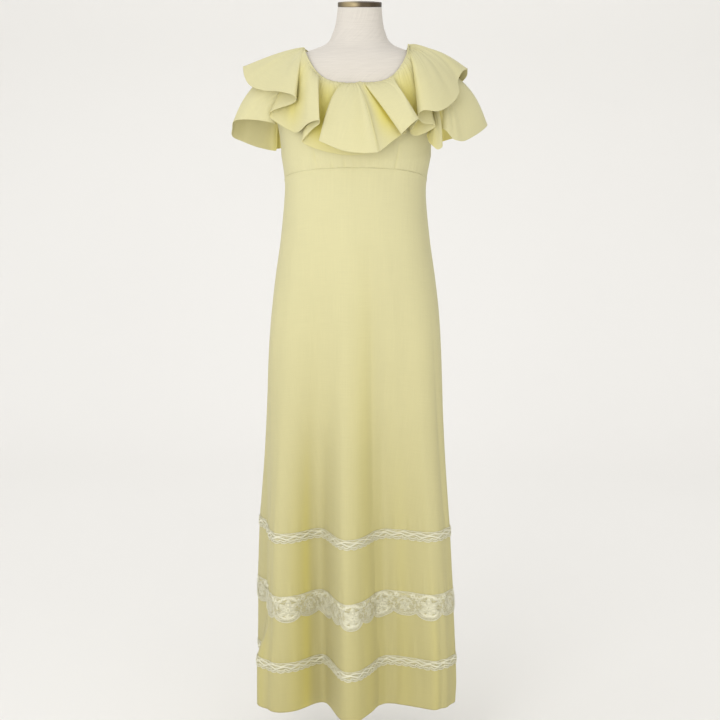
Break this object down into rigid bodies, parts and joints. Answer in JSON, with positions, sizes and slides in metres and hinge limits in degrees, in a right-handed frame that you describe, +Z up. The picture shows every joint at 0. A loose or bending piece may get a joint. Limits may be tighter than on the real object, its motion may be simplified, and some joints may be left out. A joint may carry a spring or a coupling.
{
  "type": "maxi dress on a dress form",
  "caption": "Long cotton dress with a gathered neck flounce, flutter sleeves and lace bands on its skirt, on a limbless dress form with a pole and a round base.",
  "frame": {"origin": "middle of the underside of the stand's base", "axes": "+Z up from the floor to the neck; -Y is the front of the dress; +X is to the right of someone who faces its front"},
  "size_m": [0.5365, 0.3367, 1.6462],
  "materials": {
    "cotton": "pale yellow plain-woven cotton, crisp, faint slub and soft sheen",
    "lace": "ecru cotton lace, flowers on net with a scalloped lower edge",
    "linen": "off-white linen cover of the form, stretched smooth",
    "brass": "dull antique brass",
    "enamel": "warm off-white enamel"
  },
  "bodies": {
    "root": {"bodice_front": "cotton", "bodice_back": "cotton", "skirt_front": "cotton", "skirt_back": "cotton", "flounce_front": "cotton", "flounce_back": "cotton", "sleeve_left": "cotton", "sleeve_right": "cotton", "lace_upper_front": "lace", "lace_upper_back": "lace", "lace_middle_front": "lace", "lace_middle_back": "lace", "lace_lower_front": "lace", "lace_lower_back": "lace", "form_torso": "linen", "form_neck_cap": "brass", "stand_pole": "enamel", "stand_base": "enamel"}
  },
  "joints": []
}
